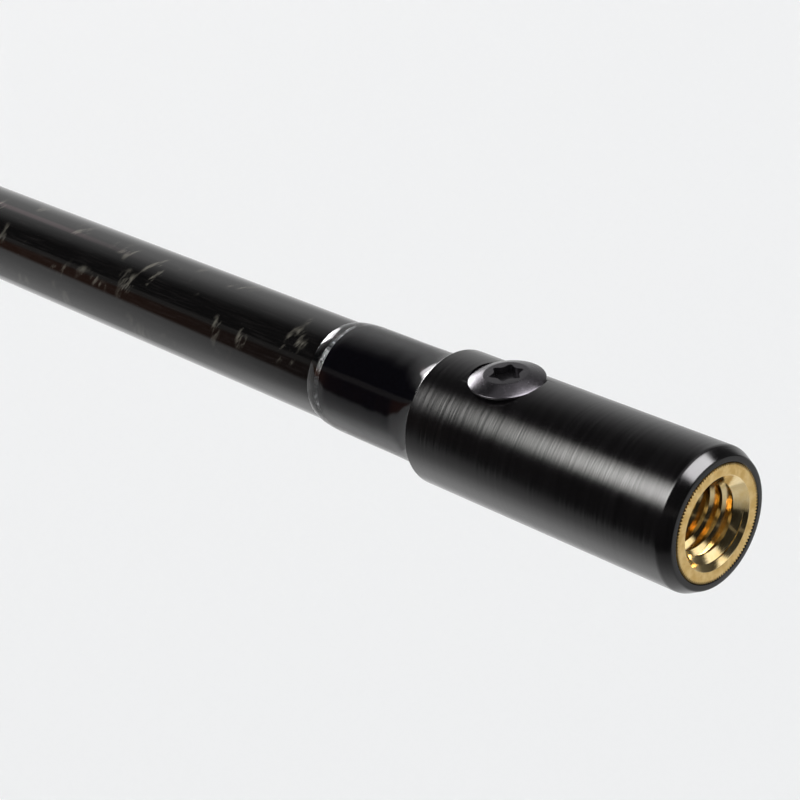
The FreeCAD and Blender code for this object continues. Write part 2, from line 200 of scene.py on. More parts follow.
class Bench:
    # builds one node tree
    def __init__(self, owner):
        owner.use_nodes = True
        self.tree = owner.node_tree
        self.tree.nodes.clear()

    def node(self, kind, settings=None, inputs=None, output=0):
        made = self.tree.nodes.new(kind)
        for key, value in (settings or {}).items():
            if key == "stops":
                self.setStops(made.color_ramp, value)
            else:
                setattr(made, key, value)
        for key, value in (inputs or {}).items():
            self.feed(made.inputs[key], value)
        return Wire(self, made.outputs[output]) if len(made.outputs) else None

    def setStops(self, ramp, stops):
        while len(ramp.elements) < len(stops):
            ramp.elements.new(1.0)
        for element, (position, colour) in zip(ramp.elements, stops):
            element.position = position
            element.color = (*colour, 1)

    def feed(self, socket, value):
        if isinstance(value, Wire):
            self.tree.links.new(value.socket, socket)
        elif hasattr(value, "__len__") and len(value) == 3 and socket.type == "RGBA":
            socket.default_value = (*value, 1)
        else:
            socket.default_value = value

    def coordinates(self):
        # object coordinates in millimetres, split, and the angle round the pole
        place = self.node("ShaderNodeTexCoord", output="Object")
        x = self.node("ShaderNodeSeparateXYZ", {}, {0: place}, "X") * 1000
        y = self.node("ShaderNodeSeparateXYZ", {}, {0: place}, "Y") * 1000
        z = self.node("ShaderNodeSeparateXYZ", {}, {0: place}, "Z") * 1000
        angle = self.node("ShaderNodeMath", {"operation": "ARCTAN2"}, {0: z, 1: y})
        return x, y, z, angle

    def vector(self, x, y, z):
        return self.node("ShaderNodeCombineXYZ", {}, {0: x, 1: y, 2: z})

    def noise(self, vector, scale, detail=2.0, roughness=0.5):
        return self.node("ShaderNodeTexNoise", {},
                         {"Vector": vector, "Scale": scale, "Detail": detail,
                          "Roughness": roughness}, "Fac")

    def step(self, value, low, high):
        # smooth mask that rises from 0 at low to 1 at high
        return self.node("ShaderNodeMapRange", {"interpolation_type": "SMOOTHSTEP"},
                         {"Value": value, "From Min": low, "From Max": high}, 0)

    def mixColour(self, factor, first, second):
        return self.node("ShaderNodeMix", {"data_type": "RGBA"},
                         {0: factor, 6: first, 7: second}, 2)

    def levels(self, share, stops):
        # grey ramp whose stops are degrees round the pole, from -90 to 270
        greys = [((at + 90) / 360, (level, level, level)) for at, level in stops]
        return self.node("ShaderNodeValToRGB", {"stops": greys}, {0: share})

    def addColour(self, colour, amount, tint):
        # colour + amount * tint
        tinted = self.node("ShaderNodeVectorMath", {"operation": "SCALE"}, {0: tint, 3: amount})
        return self.node("ShaderNodeVectorMath", {"operation": "ADD"}, {0: colour, 1: tinted})

    def bump(self, height, strength, distance):
        return self.node("ShaderNodeBump", {},
                         {"Strength": strength, "Distance": distance, "Height": height})

    def surface(self, **sockets):
        made = self.node("ShaderNodeBsdfPrincipled", {},
                         {key.replace("_", " "): value for key, value in sockets.items()})
        self.node("ShaderNodeOutputMaterial", {}, {"Surface": made})


def newMaterial(name):
    material = bpy.data.materials.new(name)
    return material, Bench(material)


carbonLook = {"black": (0.0035, 0.0033, 0.0034), "fleckAndSheen": (0.125, 0.118, 0.10),
              "grey": (0.010, 0.009, 0.009), "clusterSize": 5.2, "strokeWidth": 0.8, "slant": 0.45}


def makeCarbon():
    # clear-lacquered black carbon with clusters of pale broken strokes; the strokes are painted
    # stronger on the upper front side, a painted highlight where the key light falls
    material, bench = newMaterial("carbonLacquer")
    look = carbonLook
    x, y, z, angle = bench.coordinates()
    radius = (y * y + z * z) ** 0.5
    around = angle * radius
    place = bench.node("ShaderNodeTexCoord", output="Object")
    cluster = bench.noise(place, 1000 / look["clusterSize"], 1.0)
    clusterMask = bench.step(cluster, 0.54, 0.63)
    strokeMap = bench.vector((x + around * look["slant"]) / look["strokeWidth"], y * 0.55, z * 0.55)
    strokes = bench.noise(strokeMap, 0.55, 3.0, 0.6)
    strokeAndSheenMask = bench.step(strokes, 0.5, 0.68)
    # painted highlight: the pale strokes are painted four times stronger on the upper front side of
    # the tube, where the key light falls, than underneath
    paintedLitSide = bench.step(angle, 1.2, 1.8) * (1 - bench.step(angle, 2.55, 2.9))
    strokeAndSheenMask = strokeAndSheenMask * (0.25 + 0.75 * paintedLitSide)
    weave = bench.noise(bench.vector(x * 0.25, y * 5, z * 5), 1.0, 2.0)
    # this mix carries the real strokes together with their painted lit-side highlight
    fleckAndSheen = clusterMask * strokeAndSheenMask
    base = bench.mixColour(bench.step(weave, 0.45, 0.8), look["black"], look["grey"])
    colour = bench.mixColour(fleckAndSheen, base, look["fleckAndSheen"])
    bench.surface(Base_Color=colour, Roughness=0.5, Coat_Weight=1.0, Coat_Roughness=0.02,
                  Coat_IOR=1.5, Specular_IOR_Level=0.0)
    return material


anodisedLook = {"lineWidth": 0.42, "roughness": 0.17, "low": (0.0022, 0.002, 0.0022),
                "high": (0.0045, 0.004, 0.0045)}


def makeAnodised():
    # satin black anodised aluminium with fine turning lines round the axis
    material, bench = newMaterial("blackAnodised")
    look = anodisedLook
    x, y, z = bench.coordinates()[:3]
    lines = bench.noise(bench.vector(x / look["lineWidth"], y * 0.09, z * 0.09), 1.0, 3.0, 0.65)
    broad = bench.noise(bench.vector(x * 0.6, y * 0.2, z * 0.2), 1.0, 2.0)
    rough = look["roughness"] + (lines - 0.5) * 0.2 + (broad - 0.5) * 0.05
    shade = bench.mixColour(lines, look["low"], look["high"])
    bench.surface(Base_Color=shade, Roughness=rough, Specular_IOR_Level=0.5,
                  Normal=bench.bump(lines, 0.8, 0.000017))
    return material


def makeBrass(name, roughness, mottle, colours):
    material, bench = newMaterial(name)
    x, y, z = bench.coordinates()[:3]
    marks = bench.noise(bench.vector(x, y, z), mottle, 3.0, 0.6)
    fine = bench.noise(bench.vector(x * 9, y * 2, z * 2), 1.0, 2.0)
    colour = bench.mixColour(bench.step(marks, 0.3, 0.75), colours[0], colours[1])
    bench.surface(Base_Color=colour, Metallic=1.0, Roughness=roughness + (marks - 0.5) * 0.25,
                  Normal=bench.bump(fine, 0.2, 0.00003))
    return material


def makeBlackSteel():
    material, bench = newMaterial("blackSteel")
    place = bench.node("ShaderNodeTexCoord", output="Object")
    grain = bench.noise(place, 2500.0, 3.0, 0.6)
    patch = bench.noise(place, 500.0, 2.0)
    colour = bench.mixColour(patch, (0.034, 0.032, 0.036), (0.075, 0.071, 0.078))
    bench.surface(Base_Color=colour, Metallic=0.85, Roughness=0.14 + grain * 0.2,
                  Normal=bench.bump(grain, 0.2, 0.00002))
    return material


def makeWinding():
    material, bench = newMaterial("blackWinding")
    x, y, z = bench.coordinates()[:3]
    turns = bench.node("ShaderNodeMath", {"operation": "SINE"}, {0: x * (2 * math.pi / 0.16)})
    fuzz = bench.noise(bench.vector(x * 8, y * 2, z * 2), 1.0, 2.0)
    colour = bench.mixColour(fuzz, (0.0035, 0.003, 0.0045), (0.0075, 0.007, 0.0105))
    bench.surface(Base_Color=colour, Roughness=0.6 + fuzz * 0.2, Specular_IOR_Level=0.0,
                  Normal=bench.bump(turns, 0.3, 0.00003))
    return material


def makeTinsel():
    material, bench = newMaterial("silverTinsel")
    place = bench.node("ShaderNodeTexCoord", output="Object")
    glints = bench.node("ShaderNodeTexVoronoi", {}, {"Vector": place, "Scale": 3600.0}, "Color")
    facet = bench.node("ShaderNodeSeparateColor", {}, {0: glints}, 0)
    colour = bench.mixColour(facet * facet, (0.24, 0.24, 0.24), (1.0, 1.0, 0.97))
    bench.surface(Base_Color=colour, Metallic=1.0, Roughness=0.25 + facet * 0.2,
                  Normal=bench.bump(facet, 1.0, 0.00015))
    return material


def makeEpoxy():
    # clear coat: what lies under it shows, and its own surface only reflects
    material, bench = newMaterial("clearEpoxy")
    place = bench.node("ShaderNodeTexCoord", output="Object")
    ripple = bench.bump(bench.noise(place, 300.0, 1.0), 0.06, 0.0004)
    clear = bench.node("ShaderNodeBsdfTransparent", {}, {"Color": (0.93, 0.94, 0.96)})
    gloss = bench.node("ShaderNodeBsdfAnisotropic", {}, {"Roughness": 0.015, "Normal": ripple})
    edge = bench.node("ShaderNodeFresnel", {}, {"IOR": 1.52, "Normal": ripple})
    both = bench.node("ShaderNodeMixShader", {}, {0: edge, 1: clear, 2: gloss})
    bench.node("ShaderNodeOutputMaterial", {}, {"Surface": both})
    material.surface_render_method = "BLENDED"
    return material


def makeRubber():
    material, bench = newMaterial("gripRubber")
    place = bench.node("ShaderNodeTexCoord", output="Object")
    grain = bench.noise(place, 3000.0, 3.0, 0.7)
    worn = bench.noise(place, 120.0, 3.0)
    colour = bench.mixColour(bench.step(worn, 0.35, 0.75), (0.013, 0.013, 0.014),
                             (0.026, 0.025, 0.025))
    bench.surface(Base_Color=colour, Roughness=0.62 + worn * 0.2,
                  Normal=bench.bump(grain, 0.5, 0.00006))
    return material


def makeAcetal():
    material, bench = newMaterial("blackAcetal")
    place = bench.node("ShaderNodeTexCoord", output="Object")
    flow = bench.noise(place, 350.0, 3.0)
    colour = bench.mixColour(flow, (0.03, 0.03, 0.03), (0.055, 0.055, 0.055))
    bench.surface(Base_Color=colour, Roughness=0.38 + flow * 0.16)
    return material


def makePlainAluminium():
    material, bench = newMaterial("plainAluminium")
    x, y, z = bench.coordinates()[:3]
    lines = bench.noise(bench.vector(x / 0.12, y * 0.1, z * 0.1), 1.0, 3.0, 0.6)
    colour = bench.mixColour(lines, (0.58, 0.58, 0.6), (0.8, 0.8, 0.82))
    bench.surface(Base_Color=colour, Metallic=1.0, Roughness=0.25 + lines * 0.2,
                  Normal=bench.bump(lines, 0.4, 0.00003))
    return material


carbon = makeCarbon()
anodised = makeAnodised()
brassFace = makeBrass("brassTurned", 0.42, 0.9, ((0.76, 0.50, 0.165), (0.97, 0.73, 0.34)))
brassThread = makeBrass("brassThread", 0.13, 0.6, ((0.80, 0.60, 0.28), (0.92, 0.76, 0.45)))
blackSteel = makeBlackSteel()
winding = makeWinding()
tinsel = makeTinsel()
epoxy = makeEpoxy()
rubber = makeRubber()
acetal = makeAcetal()
plainAluminium = makePlainAluminium()
print("materials ready")


adapterShape = {"edgeLength": 1.4, "edgeDepth": 0.74, "edgeRounding": 0.2, "rearChamfer": 0.3,
                "boreChamfer": 0.12, "rearRounding": 0.1, "faceRoundingShare": 0.6,
                "shoulderRadius": 4.5, "shoulderThickness": 1.5, "seatClearance": 0.1,
                "seatMargin": 0.35, "cutterDepth": 4.0, "steps": 192}


def makeAdapter():
    shape = adapterShape
    rear, front, outside = reach("tip_adapter")
    insertRear, insertFront, insertRadius = reach("thread_insert")
    tubeRadius = reach("tip_tube")[2]
    screwLow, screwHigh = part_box("adapter_screw")
    shoulder = insertRear - shape["shoulderThickness"] * mm
    chamfer = shape["rearChamfer"] * mm
    rounding = shape["edgeRounding"] * mm
    edgeLength = shape["edgeLength"] * mm
    edgeDepth = shape["edgeDepth"] * mm
    boreChamfer = shape["boreChamfer"] * mm
    rearRounding = shape["rearRounding"] * mm
    screwX = (screwLow.x + screwHigh.x) / 2
    headRadius = (screwHigh.x - screwLow.x) / 2
    cutReach = headRadius + shape["seatMargin"] * mm
    piece = lathe("tipAdapter", [
        (rear, tubeRadius),
        (rear, outside - chamfer, rearRounding),
        (rear + chamfer, outside, rearRounding),
        (screwX - cutReach, outside),
        (screwX + cutReach, outside),
        (front - edgeLength, outside, rounding),
        (front, outside - edgeDepth, shape["faceRoundingShare"] * rounding),
        (front, insertRadius + boreChamfer),
        (front - boreChamfer, insertRadius),
        (insertRear, insertRadius),
        (insertRear, shape["shoulderRadius"] * mm),
        (shoulder, shape["shoulderRadius"] * mm),
        (shoulder, tubeRadius),
    ], steps=shape["steps"])
    # round seat for the screw's head, and the hole for its shank
    seatHeight = screwHead["seatHeight"] * mm
    depth = shape["cutterDepth"] * mm
    deselectAll()
    bpy.ops.mesh.primitive_cylinder_add(vertices=96, depth=depth,
                                        radius=headRadius + shape["seatClearance"] * mm,
                                        location=(screwX, 0, seatHeight + depth / 2))
    carve(piece, bpy.context.object)
    bpy.ops.mesh.primitive_cylinder_add(vertices=48, radius=screwHead["holeRadius"] * mm,
                                        depth=depth, location=(screwX, 0, seatHeight))
    carve(piece, bpy.context.object)
    finishPiece(piece, "tip", anodised, "black_anodised", "tip_adapter")


insertShape = {"minorRadius": 3.97, "majorRadius": 4.7625, "pitch": 1.5875, "mouthRadius": 5.2,
               "toothDepth": 0.34, "teeth": 112, "crestShare": 0.12, "rootShare": 0.1,
               "threadSteps": 96, "turns": 11, "turnsBehind": 9.5, "edgeRounding": 0.08,
               "mouthSlope": 1.0, "boreGap": 0.001, "mouthMargin": 0.02}


def makeThreadTap():
    # a threaded rod whose ridge is the groove to cut
    shape = insertShape
    pitch = shape["pitch"] * mm
    low = shape["minorRadius"] * mm
    high = shape["majorRadius"] * mm
    flat = shape["crestShare"] * pitch
    top = shape["rootShare"] * pitch
    flank = (pitch - flat - top) / 2
    corners = [(0, low), (flat, low), (flat + flank, high), (flat + flank + top, high), (pitch, low)]
    tap = drawOutline("threadTap", corners)[0]
    bpy.ops.object.mode_set(mode="OBJECT")
    applyModifier(tap, "SCREW", axis="X", angle=2 * math.pi, screw_offset=pitch,
                  iterations=shape["turns"],
                  steps=shape["threadSteps"], render_steps=shape["threadSteps"],
                  use_merge_vertices=True, merge_threshold=1e-7, use_smooth_shade=False)
    makeActive(tap)
    bpy.ops.object.mode_set(mode="EDIT")
    bpy.ops.mesh.select_all(action="SELECT")
    bpy.ops.mesh.remove_doubles(threshold=1e-6)
    bpy.ops.transform.translate(value=(-shape["turnsBehind"] * pitch, 0, 0))
    bpy.ops.mesh.select_all(action="DESELECT")
    bpy.ops.mesh.select_mode(type="EDGE")
    bpy.ops.mesh.select_non_manifold()
    bpy.ops.mesh.fill_holes(sides=0)
    bpy.ops.mesh.select_all(action="SELECT")
    bpy.ops.mesh.normals_make_consistent(inside=False)
    bpy.ops.object.mode_set(mode="OBJECT")
    return tap


def makeInsert():
    shape = insertShape
    rear, front, outside = reach("thread_insert")
    bore = (shape["minorRadius"] - shape["boreGap"]) * mm
    mouth = shape["mouthRadius"] * mm
    edge = shape["edgeRounding"] * mm
    piece = lathe("brassInsert", [
        (rear, bore),
        (rear, outside),
        (front, outside),
        (front, mouth, edge),
        (front - (mouth - bore) * shape["mouthSlope"], bore),
    ], steps=2 * shape["teeth"])
    makeActive(piece)
    bpy.ops.object.mode_set(mode="EDIT")
    spacing = math.pi / shape["teeth"]

    def isValley(vert):
        radius = math.hypot(vert.co.y, vert.co.z)
        step = round(math.atan2(vert.co.z, vert.co.y) / spacing)
        return radius > outside - 1e-6 and step % 2 == 1

    print("knurl valleys", selectWhere(piece, "VERT", isValley))
    shrink = 1 - shape["toothDepth"] * mm / outside
    bpy.ops.transform.resize(value=(1, shrink, shrink), center_override=(0, 0, 0))
    bpy.ops.object.mode_set(mode="OBJECT")
    carve(piece, makeThreadTap())
    finishPiece(piece, "tip", brassFace, "brass", "thread_insert", degrees=24)
    piece.data.materials.append(brassThread)
    inner = (shape["mouthRadius"] + shape["mouthMargin"]) * mm
    for face in piece.data.polygons:
        if math.hypot(face.center.y, face.center.z) < inner and abs(face.normal.x) < 0.95:
            face.material_index = 1


screwHead = {"seatHeight": 7.55, "holeRadius": 2.15, "shankRadius": 2.0, "shankLength": 6.9,
             "landHeight": 0.25, "shoulderRadius": 3.6, "shoulderHeight": 0.6, "flatRadius": 2.5,
             "height": 1.0, "socketRadius": 2.1, "socketWaist": 1.36, "lobeRounding": 0.36,
             "socketDepth": 0.8}


def makeSocketTool(screwX, floor, top):
    # six-lobe star, drawn as twelve corners, rounded and extruded
    shape = screwHead
    deselectAll()
    bpy.ops.mesh.primitive_circle_add(vertices=12, radius=shape["socketRadius"] * mm,
                                      fill_type="NGON", location=(0, 0, 0))
    tool = bpy.context.object
    bpy.ops.object.mode_set(mode="EDIT")

    def isWaist(vert):
        return round(math.degrees(math.atan2(vert.co.y, vert.co.x)) / 30) % 2 == 1

    selectWhere(tool, "VERT", isWaist)
    shrink = shape["socketWaist"] / shape["socketRadius"]
    bpy.ops.transform.resize(value=(shrink, shrink, 1), center_override=(0, 0, 0))
    bpy.ops.mesh.select_all(action="SELECT")
    bpy.ops.mesh.bevel(offset_type="OFFSET", offset=shape["lobeRounding"] * mm, segments=5,
                       affect="VERTICES")
    bpy.ops.mesh.select_all(action="SELECT")
    bpy.ops.transform.translate(value=(screwX, 0, floor))
    bpy.ops.mesh.extrude_region_move(TRANSFORM_OT_translate={"value": (0, 0, top - floor)})
    bpy.ops.mesh.select_all(action="SELECT")
    bpy.ops.mesh.normals_make_consistent(inside=False)
    bpy.ops.object.mode_set(mode="OBJECT")
    return tool


def makeScrew():
    shape = screwHead
    low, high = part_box("adapter_screw")
    screwX = (low.x + high.x) / 2
    rim = (high.x - low.x) / 2
    seat = shape["seatHeight"] * mm
    piece = lathe("adapterScrew", [
        (seat - shape["shankLength"] * mm, 0),
        (seat - shape["shankLength"] * mm, shape["shankRadius"] * mm, 0.3 * mm),
        (seat, shape["shankRadius"] * mm),
        (seat, rim - 0.12 * mm),
        (seat + 0.12 * mm, rim, 0.05 * mm),
        (seat + shape["landHeight"] * mm, rim, 0.08 * mm),
        (seat + shape["shoulderHeight"] * mm, shape["shoulderRadius"] * mm, 0.5 * mm),
        (seat + shape["height"] * mm, shape["flatRadius"] * mm, 0.12 * mm),
        (seat + shape["height"] * mm, 0),
    ], steps=96, axis="Z", closed=False)
    makeActive(piece)
    bpy.ops.object.mode_set(mode="EDIT")
    bpy.ops.mesh.select_all(action="SELECT")
    bpy.ops.transform.translate(value=(screwX, 0, 0))
    bpy.ops.object.mode_set(mode="OBJECT")
    top = seat + shape["height"] * mm
    carve(piece, makeSocketTool(screwX, top - shape["socketDepth"] * mm, top + 1 * mm))
    finishPiece(piece, "tip", blackSteel, "black_steel", "adapter_screw")


whippingShape = {"ridges": 3, "bandBulge": 0.06, "rounding": 0.05, "ridgeRounding": 0.06,
                 "wobble": 0.03, "steps": 96, "bandSteps": 160}


def makeWhipping():
    rear, front, outside = reach("tip_whipping")
    tube = reach("tip_tube")[2]
    shape = whippingShape
    piece = lathe("tipWhipping", [(rear, tube), (rear, outside, shape["rounding"] * mm),
                                  (front, outside), (front, tube)], steps=shape["steps"])
    finishPiece(piece, "tip", winding, "black_thread", "tip_whipping")
    rear, front, outside = reach("tip_band")
    ridge = (front - rear) / shape["ridges"]
    low = outside - shape["bandBulge"] * mm
    corners = [(rear, tube), (rear, low)]
    for turn in range(shape["ridges"]):
        corners.append((rear + (turn + 0.5) * ridge, outside, shape["ridgeRounding"] * mm))
        corners.append((rear + (turn + 1) * ridge, low))
    corners.append((front, tube))
    band = lathe("silverBand", corners, steps=shape["bandSteps"], segments=3)
    for vert in band.data.vertices:
        radius = math.hypot(vert.co.y, vert.co.z)
        if radius > low - 1e-7:
            change = 1 + random.uniform(-shape["wobble"], 0.0) * mm / radius
            vert.co.y *= change
            vert.co.z *= change
    finishPiece(band, "tip", tinsel, "silver_tinsel", "tip_band", degrees=12)


epoxyShape = {"hidden": 0.03, "tailHeight": 0.03, "tailRise": 0.9, "shoulder": 6.56, "crest": 6.66,
              "boxGap": 0.005, "filletLength": 3.0, "filletHeight": 0.66, "steps": 160}


def makeEpoxyCoat():
    # a thin tail on the tube, a flat over the winding, then a fillet up the adapter
    shape = epoxyShape
    rear, front, outside = reach("tip_epoxy")
    wound = reach("tip_whipping")[2]
    bandRear = reach("tip_band")[0]
    tube = reach("tip_tube")[2]
    hidden = shape["hidden"] * mm
    crest = min(shape["crest"] * mm, outside - shape["boxGap"] * mm)
    filletLength = shape["filletLength"] * mm
    filletHeight = shape["filletHeight"] * mm
    piece = lathe("epoxyCoat", [
        (rear, tube - hidden),
        (rear, tube + shape["tailHeight"] * mm, 0.02 * mm),
        (rear + shape["tailRise"] * mm, shape["shoulder"] * mm - 0.09 * mm, 0.4 * mm),
        (bandRear + 1.2 * mm, crest - 0.02 * mm, 0.9 * mm),
        (bandRear + 4 * mm, crest, 1.5 * mm),
        (front - 1.7 * filletLength, crest, 1.2 * mm),
        (front - filletLength, crest + 0.06 * mm, 1.0 * mm),
        (front - 0.4 * filletLength, crest + 0.4 * filletHeight, 0.9 * mm),
        (front, crest + filletHeight),
        (front, wound - hidden),
        (bandRear, wound - hidden),
        (bandRear, tube - hidden),
    ], steps=shape["steps"], segments=8)
    finishPiece(piece, "tip", epoxy, "clear_epoxy", "tip_epoxy", degrees=40)


tubeShape = {"wall": 0.9, "endRounding": 0.15, "steps": 128}


def makeTubes():
    for section in ["tip", *collarSections]:
        node = section + "_tube"
        rear, front, outside = reach(node)
        bore = outside - tubeShape["wall"] * mm
        edge = tubeShape["endRounding"] * mm
        piece = lathe(section + "Tube", [(rear, bore, edge), (rear, outside, edge),
                                         (front, outside, edge), (front, bore, edge)],
                      steps=tubeShape["steps"], segments=3)
        finishPiece(piece, section, carbon, "carbon", node)


ferruleShape = {"skirtLength": 8.0, "threadWall": 1.2, "lipGap": 0.4,
                "threadPitch": 1.5, "threadDepth": 0.6, "threadStart": 0.6, "crestStart": 0.45,
                "crestEnd": 0.60, "grooveShare": 0.55, "grooveDepth": 0.3, "grooveFloor": 0.25,
                "grooveFloorEnd": 0.55, "grooveEnd": 0.8, "edge": 0.4}


def makeFerrule(section):
    shape = ferruleShape
    rear, front, skirt = reach(section + "_ferrule")
    tubeFront, tube = reach(section + "_tube")[1:]
    inner = reach(slidingInside[section] + "_tube")[2]
    lip = inner + shape["lipGap"] * mm
    thread = tube + shape["threadWall"] * mm
    root = thread - shape["threadDepth"] * mm
    edge = shape["edge"] * mm
    skirtEnd = rear + shape["skirtLength"] * mm
    corners = [(rear, tube), (rear, skirt - edge, 0.12 * mm), (rear + edge, skirt, 0.12 * mm)]
    # a shallow groove round the skirt
    groove = rear + shape["grooveShare"] * shape["skirtLength"] * mm
    floor = skirt - shape["grooveDepth"] * mm
    corners += [(groove, skirt, 0.08 * mm), (groove + shape["grooveFloor"] * mm, floor),
                (groove + shape["grooveFloorEnd"] * mm, floor),
                (groove + shape["grooveEnd"] * mm, skirt, 0.08 * mm)]
    corners += [(skirtEnd, skirt, 0.15 * mm), (skirtEnd, root)]
    along = skirtEnd + shape["threadStart"] * mm
    while along + shape["threadPitch"] * mm < front - edge:
        corners += [(along, root),
                    (along + shape["crestStart"] * shape["threadPitch"] * mm, thread),
                    (along + shape["crestEnd"] * shape["threadPitch"] * mm, thread)]
        along += shape["threadPitch"] * mm
    corners += [(front, root), (front, lip), (tubeFront, lip), (tubeFront, tube)]
    piece = lathe(section + "Ferrule", corners, segments=2)
    finishPiece(piece, section, anodised, "black_anodised", section + "_ferrule")


nutShape = {"threadClearance": 0.05, "frontGap": 0.6, "frontWall": 1.7, "coneGap": 0.35,
            "rearWall": 2.3, "noseWall": 1.3, "colletRoot": 3.0, "flange": 3.2, "recess": 1.2,
            "edge": 0.6, "rounding": 0.15, "boreRounding": 0.2}


def makeNut(section):
    shape = nutShape
    node = section + "_nut"
    rear, front, outside = reach(node)
    inner = reach(slidingInside[section] + "_tube")[2]
    thread = reach(section + "_tube")[2] + (ferruleShape["threadWall"] + shape["threadClearance"]) * mm
    colletRear = reach(section + "_collet")[0]
    recess = outside - shape["recess"] * mm
    flange = shape["flange"] * mm
    edge = shape["edge"] * mm
    coneRear = inner + (shape["rearWall"] + shape["coneGap"]) * mm
    coneFront = inner + (shape["noseWall"] + shape["coneGap"]) * mm
    coneEnd = front - shape["frontWall"] * mm
    bore = inner + shape["frontGap"] * mm
    rounding = shape["rounding"] * mm
    piece = lathe(section + "Nut", [
        (rear, thread, rounding),
        (rear, outside - edge, rounding),
        (rear + edge, outside, rounding),
        (rear + flange, outside, rounding),
        (rear + flange, recess),
        (front - flange, recess),
        (front - flange, outside, rounding),
        (front - edge, outside, rounding),
        (front, outside - edge, rounding),
        (front, bore, shape["boreRounding"] * mm),
        (coneEnd, bore),
        (coneEnd, coneFront),
        (colletRear + shape["colletRoot"] * mm, coneRear),
        (colletRear, coneRear),
        (colletRear, thread),
    ], segments=3)
    finishPiece(piece, section + "_collar", anodised, "black_anodised", node)


gripShape = {"ribs": 32, "stepsPerRib": 3, "grooveDepth": 0.7, "inset": 0.12, "edge": 0.3,
             "band": 1.6, "bevel": 0.16}


def makeGrip(section):
    shape = gripShape
    node = section + "_grip"
    rear, front, outside = reach(node)
    inside = reach(section + "_nut")[2] - nutShape["recess"] * mm
    edge = shape["edge"] * mm
    band = shape["band"] * mm
    corners = [(rear, inside), (rear, outside - edge), (rear + edge, outside),
               (rear + band, outside), (front - band, outside), (front - edge, outside),
               (front, outside - edge), (front, inside)]
    steps = shape["ribs"] * shape["stepsPerRib"]
    piece = lathe(section + "Grip", corners, steps=steps)
    makeActive(piece)
    bpy.ops.object.mode_set(mode="EDIT")
    turn = 2 * math.pi / steps

    def isGroove(face):
        centre = face.calc_center_median()
        radius = math.hypot(centre.y, centre.z)
        step = math.floor(math.atan2(centre.z, centre.y) / turn)
        return (radius > outside - 0.1 * mm and abs(face.normal.x) < 0.1
                and rear + band < centre.x < front - band and step % shape["stepsPerRib"] == 0)

    selectWhere(piece, "FACE", isGroove)
    bpy.ops.mesh.inset(thickness=shape["inset"] * mm, depth=-shape["grooveDepth"] * mm,
                       use_individual=True)
    bpy.ops.object.mode_set(mode="OBJECT")
    applyModifier(piece, "BEVEL", width=shape["bevel"] * mm, segments=2, limit_method="ANGLE",
                  angle_limit=math.radians(30))
    finishPiece(piece, section + "_collar", rubber, "grip_rubber", node, degrees=50)


endShape = {"sleeveEdge": 0.5, "plugGap": 0.4, "grooves": (6.0, 7.6), "grooveDepth": 0.3,
            "footWell": 5.0, "footWeb": 3.0, "footEdge": 2.0, "edgeShare": 0.98,
            "footRings": (7.0, 9.2, 11.4), "ringDepth": 0.5, "shankRadius": 2.5, "headHeight": 2.6,
            "headEdge": 0.4, "hexRadius": 1.73, "hexDepth": 1.5}


def makeEndSleeve():
    rear, front, outside = reach("end_sleeve")
    tubeRear, tubeFront, tube = reach("base_tube")
    plug = tube - (tubeShape["wall"] + endShape["plugGap"]) * mm
    edge = endShape["sleeveEdge"] * mm
    corners = [(rear, plug), (rear, outside, 0.15 * mm)]
    floor = outside - endShape["grooveDepth"] * mm
    for groove in endShape["grooves"]:
        start = rear + groove * mm
        corners += [(start, outside, 0.08 * mm), (start + 0.2 * mm, floor),
                    (start + 0.5 * mm, floor), (start + 0.7 * mm, outside, 0.08 * mm)]
    corners += [(front - edge, outside, 0.12 * mm), (front, outside - edge, 0.12 * mm), (front, tube),
                (tubeRear, tube), (tubeRear, plug)]
    piece = lathe("endSleeve", corners, segments=3)
    finishPiece(piece, "base", anodised, "black_anodised", "end_sleeve")


def makeFoot():
    rear, front, outside = reach("foot")
    well = endShape["footWell"] * mm
    screw = endShape["shankRadius"] * mm
    web = front - endShape["footWeb"] * mm
    floor = rear + endShape["ringDepth"] * mm
    corners = [(rear, well, 0.3 * mm)]
    for place in endShape["footRings"]:
        ring = place * mm
        corners += [(rear, ring, 0.1 * mm), (floor, ring + 0.25 * mm),
                    (floor, ring + 0.55 * mm), (rear, ring + 0.8 * mm, 0.1 * mm)]
    corners += [(rear, outside, endShape["footEdge"] * mm * endShape["edgeShare"]),
                (front, outside, 0.2 * mm), (front, screw), (web, screw), (web, well)]
    piece = lathe("footBumper", corners, segments=6)
    finishPiece(piece, "base", rubber, "grip_rubber", "foot")


def makeFootScrew():
    shape = endShape
    rear, front, head = reach("foot_screw")
    height = shape["headHeight"] * mm
    shank = shape["shankRadius"] * mm
    piece = lathe("footScrew", [
        (rear, 0),
        (rear, head, shape["headEdge"] * mm),
        (rear + height, head, 0.1 * mm),
        (rear + height, shank),
        (front, shank, 0.3 * mm),
        (front, 0),
    ], steps=64, closed=False)
    deselectAll()
    bpy.ops.mesh.primitive_cylinder_add(vertices=6, radius=shape["hexRadius"] * mm,
                                        depth=2 * shape["hexDepth"] * mm,
                                        location=(rear, 0, 0), rotation=(0, math.pi / 2, 0))
    carve(piece, bpy.context.object)
    finishPiece(piece, "base", blackSteel, "black_steel", "foot_screw")


makeAdapter()
makeInsert()
makeScrew()
makeWhipping()
makeEpoxyCoat()
print("tip pieces ready")
makeTubes()
for section in collarSections:
    makeFerrule(section)
    makeNut(section)
    makeGrip(section)
makeEndSleeve()
makeFoot()
makeFootScrew()
print("collars and base ready")

